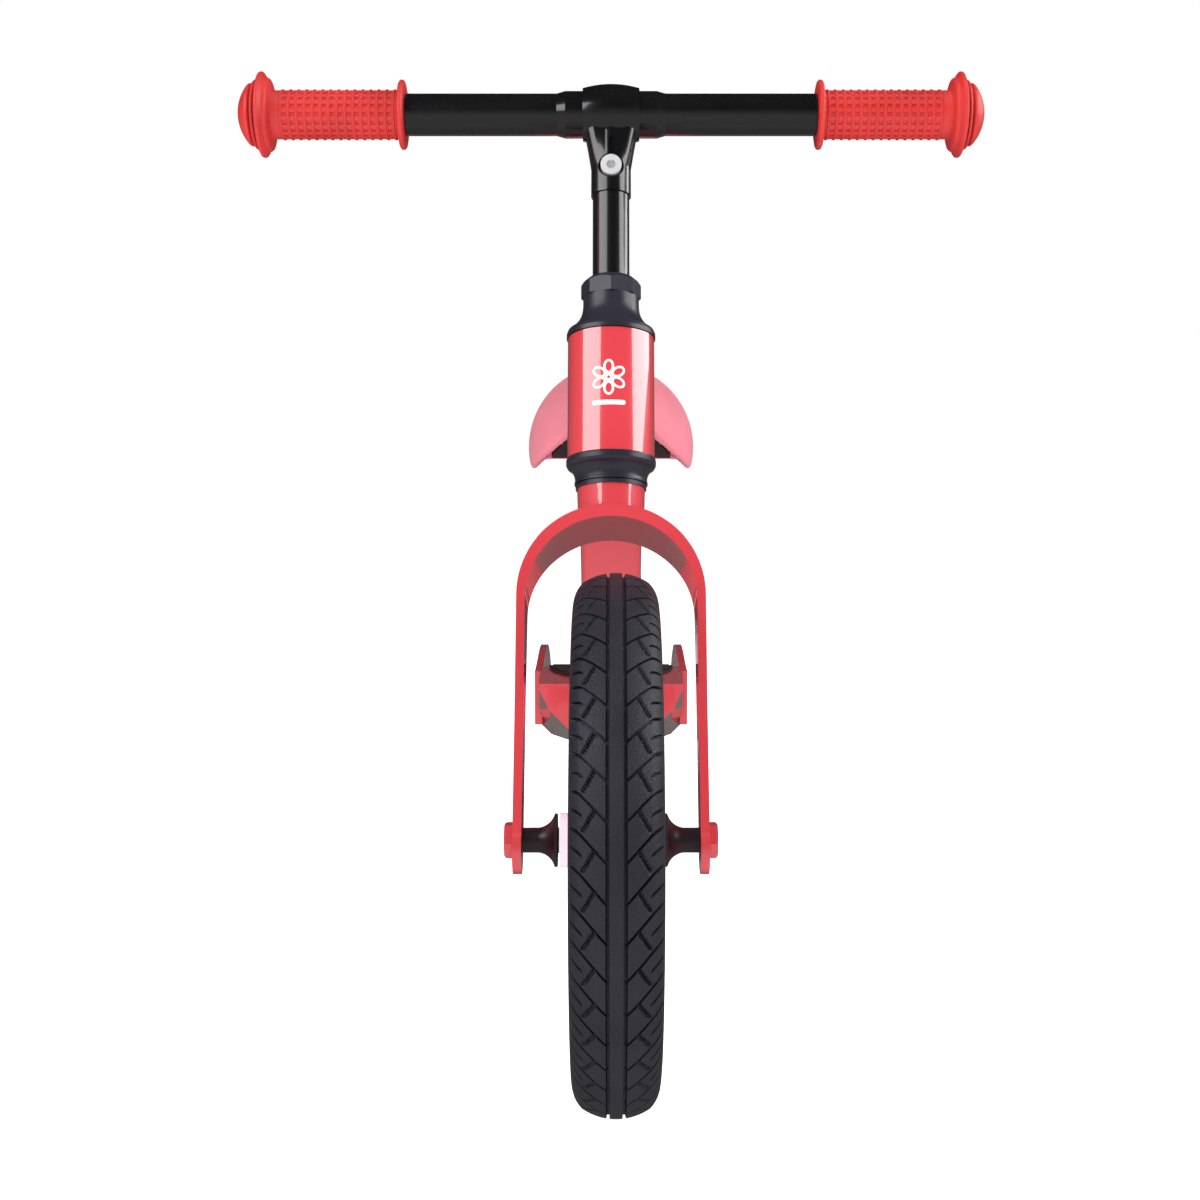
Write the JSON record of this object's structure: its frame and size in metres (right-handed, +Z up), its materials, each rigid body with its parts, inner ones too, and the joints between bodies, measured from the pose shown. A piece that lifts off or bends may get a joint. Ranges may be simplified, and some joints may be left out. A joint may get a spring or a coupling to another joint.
{
  "type": "balance bike",
  "caption": "Child's balance bike with a steering fork, straight handlebar, padded saddle on a post, low footrest deck and spoked wheels with solid tyres.",
  "frame": {"origin": "on the ground, midway between the two wheel centres", "axes": "+X to the side (the rider's left when seated, facing -Y), -Y forwards, +Z up"},
  "size_m": [0.434, 0.85, 0.5647],
  "materials": {
    "coral_paint": "gloss",
    "black_paint": "gloss",
    "satin_black": "satin",
    "bearing_steel": "polished",
    "bolt_steel": "polished",
    "axle_steel": "satin",
    "collet_brass": "satin",
    "grip_rubber": "matte",
    "pad_rubber": "matte",
    "tyre_rubber": "matte",
    "wheel_pink": "satin",
    "spacer_black": "satin",
    "saddle_skin": "satin",
    "saddle_plastic": "matte"
  },
  "bodies": {
    "frame": {"head_tube": "coral_paint", "main_beam": "coral_paint", "footrest_deck": "coral_paint", "seat_tube": "coral_paint", "rear_stay_left": "coral_paint", "rear_stay_right": "coral_paint", "foot_pad_left": "pad_rubber", "foot_pad_right": "pad_rubber", "seat_collar": "satin_black", "seat_collar_bolt": "bolt_steel", "upper_headset_cup": "satin_black", "lower_headset_cup": "satin_black", "rear_axle": "axle_steel", "rear_axle_nuts": "coral_paint", "rear_axle_spacers": "spacer_black", "rear_bearing_inner_races": "bearing_steel"},
    "steering": {"fork": "coral_paint", "steerer_tube": "axle_steel", "crown_race": "satin_black", "lower_headset_balls": "bearing_steel", "upper_headset_cone": "bearing_steel", "upper_headset_balls": "bearing_steel", "headset_cover": "satin_black", "height_lock_nut": "satin_black", "stem_collet": "collet_brass", "front_axle": "axle_steel", "front_axle_nuts": "coral_paint", "front_axle_spacers": "spacer_black", "front_bearing_inner_races": "bearing_steel"},
    "handlebar": {"stem_tube": "black_paint", "handlebar_clamp": "black_paint", "clamp_bolt": "bolt_steel", "handlebar_tube": "black_paint", "grip_left": "grip_rubber", "grip_right": "grip_rubber"},
    "front_wheel": {"front_wheel": "wheel_pink", "front_tyre": "tyre_rubber", "front_bearing_outer_races": "bearing_steel", "front_bearing_balls": "bearing_steel"},
    "rear_wheel": {"rear_wheel": "wheel_pink", "rear_tyre": "tyre_rubber", "rear_bearing_outer_races": "bearing_steel", "rear_bearing_balls": "bearing_steel"},
    "saddle": {"seat_post": "black_paint", "saddle_base": "saddle_plastic", "saddle_cover": "saddle_skin", "saddle_bolt": "bolt_steel"}
  },
  "joints": [
    {"name": "steering_turn", "type": "hinge", "parent": "frame", "child": "steering", "pos_m": [0, -0.21535, 0.30815], "axis": [0, 0.2419, 0.9703], "range_deg": [-60, 60]},
    {"name": "bar_height", "type": "slide", "parent": "steering", "child": "handlebar", "axis": [0, 0.2419, 0.9703], "range_m": [-0.045, 0.03]},
    {"name": "front_wheel_spin", "type": "hinge", "parent": "steering", "child": "front_wheel", "pos_m": [0, -0.285, 0.14], "axis": [1, 0, 0], "continuous": true},
    {"name": "rear_wheel_spin", "type": "hinge", "parent": "frame", "child": "rear_wheel", "pos_m": [0, 0.285, 0.14], "axis": [1, 0, 0], "continuous": true},
    {"name": "saddle_height", "type": "slide", "parent": "frame", "child": "saddle", "axis": [0, 0.2756, 0.9613], "range_m": [-0.03, 0.045]}
  ]
}
